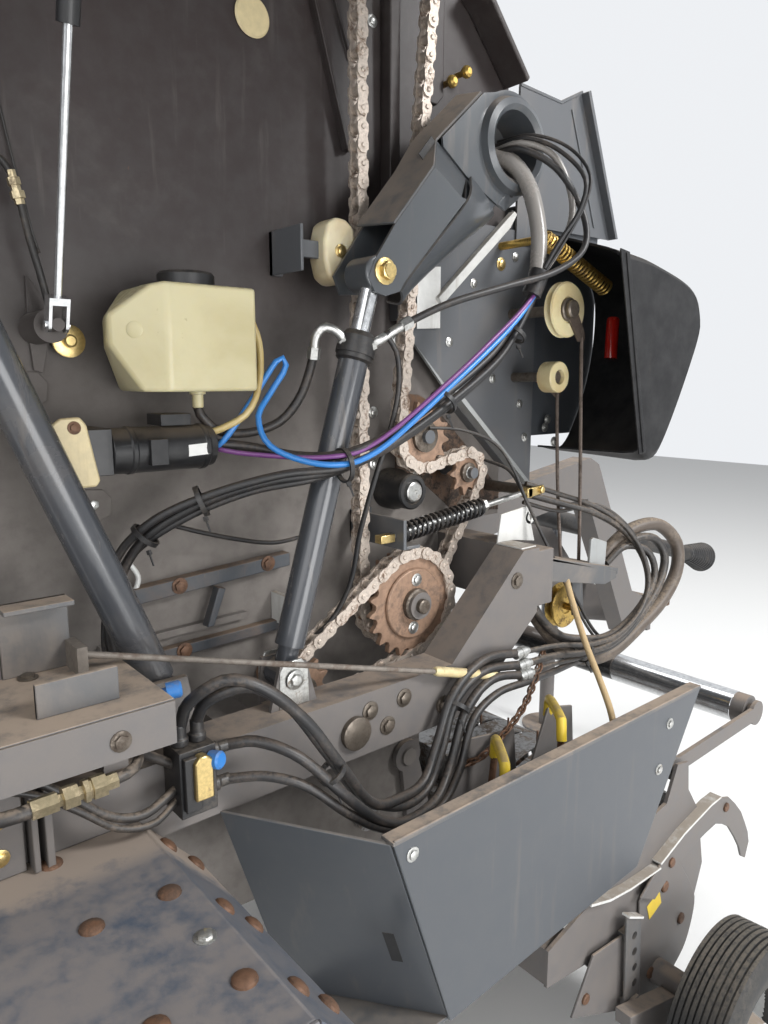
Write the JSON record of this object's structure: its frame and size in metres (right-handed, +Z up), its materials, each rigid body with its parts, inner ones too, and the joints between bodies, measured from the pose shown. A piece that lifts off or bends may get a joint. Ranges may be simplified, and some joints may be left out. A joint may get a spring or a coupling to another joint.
{
  "type": "round baler",
  "caption": "Towed round baler with belts, a lifting tailgate, tined pickup, chain drive open to view, folding side covers, rams, gas struts, drawbar and jack",
  "frame": {"origin": "centre of the towing eye's bore", "axes": "+X forward along the pull, +Y to the left, +Z up along the eye's bore"},
  "size_m": [4.9727, 3.2592, 2.763],
  "materials": {
    "dark_sheet": "dark anthracite paint, dusty",
    "frame_paint": "grey-blue paint under dust",
    "mudguard_blue": "dark blue paint, dust and rust spots",
    "cylinder_paint": "dark grey paint",
    "rod_steel": "polished",
    "rusty_steel": "brown rust and old grease",
    "roller_steel": "worn",
    "belt_rubber": "worn black belting",
    "tyre_rubber": "dusty black",
    "rim_paint": "light grey paint",
    "black_parts": "black",
    "tank_plastic": "cream, slightly see-through",
    "lamp_red": "red lens",
    "hose_rubber": "black and brown rubber",
    "zinc_parts": "yellow zinc and cream nylon"
  },
  "bodies": {
    "chassis": {"frame_rail_right": "frame_paint", "frame_rail_left": "frame_paint", "axle": "frame_paint", "side_sheet_right": "dark_sheet", "side_sheet_left": "dark_sheet", "body_panels": "dark_sheet", "front_panels": "frame_paint", "net_box": "dark_sheet", "hoods": "dark_sheet", "chamber_rollers": "roller_steel", "front_belts": "belt_rubber", "gearbox": "frame_paint", "sprockets": "rusty_steel", "drive_chains": "rusty_steel", "tension_arms": "frame_paint", "tension_cylinders": "cylinder_paint", "oil_tank": "tank_plastic", "pump_and_valve": "black_parts", "side_platform_right": "frame_paint", "lower_guard_right": "dark_sheet", "mudguards": "mudguard_blue", "drawbar": "frame_paint", "drawbar_head": "frame_paint", "towing_eye": "rusty_steel", "jack_tube": "frame_paint", "linkage_right": "zinc_parts", "hoses_right": "hose_rubber"},
    "wheel_right": {"rim_right": "rim_paint", "tyre_right": "tyre_rubber"},
    "wheel_left": {"rim_left": "rim_paint", "tyre_left": "tyre_rubber"},
    "tailgate": {"gate_sides": "dark_sheet", "gate_shell": "dark_sheet", "gate_rollers": "roller_steel", "rear_belts": "belt_rubber", "rear_lamps": "lamp_red"},
    "ram_right_barrel": {"gate_barrel_right": "cylinder_paint"},
    "ram_left_barrel": {"gate_barrel_left": "cylinder_paint"},
    "ram_right_rod": {"gate_rod_right": "rod_steel"},
    "ram_left_rod": {"gate_rod_left": "rod_steel"},
    "pickup": {"pickup_frame": "frame_paint", "pickup_bands": "roller_steel"},
    "reel": {"pickup_reel": "roller_steel"},
    "gauge_right": {"gauge_wheel_right": "tyre_rubber"},
    "gauge_left": {"gauge_wheel_left": "tyre_rubber"},
    "wind_guard": {"wind_guard": "black_parts"},
    "feed_rotor": {"feed_rotor": "rusty_steel"},
    "lid": {"net_box_lid": "dark_sheet"},
    "jack": {"jack_leg": "rod_steel"},
    "pto": {"pto_shaft": "black_parts"},
    "cover_right": {"side_cover_right": "dark_sheet"},
    "cover_left": {"side_cover_left": "dark_sheet"},
    "strut_right_barrel": {"strut_barrel_right": "cylinder_paint"},
    "strut_right_rod": {"strut_rod_right": "rod_steel"},
    "strut_left_barrel": {"strut_barrel_left": "cylinder_paint"},
    "strut_left_rod": {"strut_rod_left": "rod_steel"}
  },
  "joints": [
    {"name": "wheel_right_spin", "type": "hinge", "parent": "chassis", "child": "wheel_right", "pos_m": [-3.45, -1.1, -0.123], "axis": [0, 1, 0], "continuous": true},
    {"name": "wheel_left_spin", "type": "hinge", "parent": "chassis", "child": "wheel_left", "pos_m": [-3.45, 1.1, -0.123], "axis": [0, 1, 0], "continuous": true},
    {"name": "tailgate_hinge", "type": "hinge", "parent": "chassis", "child": "tailgate", "pos_m": [-3.03, 0, 1.96], "axis": [0, 1, 0], "range_deg": [0, 62]},
    {"name": "pickup_lift", "type": "hinge", "parent": "chassis", "child": "pickup", "pos_m": [-2.2, 0, 0.19], "axis": [0, -1, 0], "range_deg": [0, 14]},
    {"name": "reel_spin", "type": "hinge", "parent": "pickup", "child": "reel", "pos_m": [-1.8, 0, -0.14], "axis": [0, 1, 0], "continuous": true},
    {"name": "gauge_wheel_right_spin", "type": "hinge", "parent": "pickup", "child": "gauge_right", "pos_m": [-1.76, -1.24, -0.35], "axis": [0, 1, 0], "continuous": true},
    {"name": "gauge_wheel_left_spin", "type": "hinge", "parent": "pickup", "child": "gauge_left", "pos_m": [-1.76, 1.24, -0.35], "axis": [0, 1, 0], "continuous": true},
    {"name": "wind_guard_lift", "type": "hinge", "parent": "pickup", "child": "wind_guard", "pos_m": [-1.69, 0, 0.14], "axis": [0, -1, 0], "range_deg": [0, 8]},
    {"name": "feed_rotor_spin", "type": "hinge", "parent": "chassis", "child": "feed_rotor", "pos_m": [-2.32, 0, 0.08], "axis": [0, 1, 0], "continuous": true},
    {"name": "net_box_lid_hinge", "type": "hinge", "parent": "chassis", "child": "lid", "pos_m": [-1.878, 0, 1.452], "axis": [0, -1, 0], "range_deg": [0, 80]},
    {"name": "jack_slide", "type": "slide", "parent": "chassis", "child": "jack", "axis": [0, 0, 1], "range_m": [0, 0.35]},
    {"name": "pto_spin", "type": "hinge", "parent": "chassis", "child": "pto", "pos_m": [-1.76, 0, 0.76], "axis": [0.9628, 0, -0.2703], "continuous": true},
    {"name": "cover_right_hinge", "type": "hinge", "parent": "chassis", "child": "cover_right", "pos_m": [-2.55, -0.65, 2.05], "axis": [1, 0, 0], "range_deg": [0, 57]},
    {"name": "cover_left_hinge", "type": "hinge", "parent": "chassis", "child": "cover_left", "pos_m": [-2.55, 0.65, 2.05], "axis": [1, 0, 0], "range_deg": [0, 57]},
    {"name": "ram_right_pivot", "type": "hinge", "parent": "chassis", "child": "ram_right_barrel", "pos_m": [-2.85, -0.78, 0.58], "axis": [0, 1, 0], "range_deg": [0, 0.1761]},
    {"name": "ram_right_slide", "type": "slide", "parent": "ram_right_barrel", "child": "ram_right_rod", "axis": [-0.3676, 0, 0.93], "range_m": [0, 0.40977]},
    {"name": "ram_left_pivot", "type": "hinge", "parent": "chassis", "child": "ram_left_barrel", "pos_m": [-2.85, 0.78, 0.58], "axis": [0, 1, 0], "range_deg": [0, 0.1761]},
    {"name": "ram_left_slide", "type": "slide", "parent": "ram_left_barrel", "child": "ram_left_rod", "axis": [-0.3676, 0, 0.93], "range_m": [0, 0.40977]},
    {"name": "strut_right_pivot", "type": "hinge", "parent": "cover_right", "child": "strut_right_barrel", "pos_m": [-2.95, -1.02386, 1.96103], "axis": [1, 0, 0], "range_deg": [-71.98, 0]},
    {"name": "strut_right_slide", "type": "slide", "parent": "strut_right_barrel", "child": "strut_right_rod", "axis": [0, 0.3412, -0.94], "range_m": [-0.32627, 0]},
    {"name": "strut_left_pivot", "type": "hinge", "parent": "cover_left", "child": "strut_left_barrel", "pos_m": [-2.95, 0.779, 1.688], "axis": [1, 0, 0], "range_deg": [-71.98, 0]},
    {"name": "strut_left_slide", "type": "slide", "parent": "strut_left_barrel", "child": "strut_left_rod", "axis": [0, -0.099, -0.9951], "range_m": [0, 0.32627]}
  ],
  "couplings": [
    {"joint": "ram_right_pivot", "follows": "tailgate_hinge", "ratio": 0.002784},
    {"joint": "ram_right_slide", "follows": "tailgate_hinge", "m_per_rad": 0.37493},
    {"joint": "ram_left_pivot", "follows": "tailgate_hinge", "ratio": 0.002784},
    {"joint": "ram_left_slide", "follows": "tailgate_hinge", "m_per_rad": 0.37493},
    {"joint": "strut_right_pivot", "follows": "cover_right_hinge", "ratio": -1.2504},
    {"joint": "strut_right_slide", "follows": "cover_right_hinge", "m_per_rad": -0.32472},
    {"joint": "strut_left_pivot", "follows": "cover_left_hinge", "ratio": -1.2504},
    {"joint": "strut_left_slide", "follows": "cover_left_hinge", "m_per_rad": 0.32472}
  ]
}
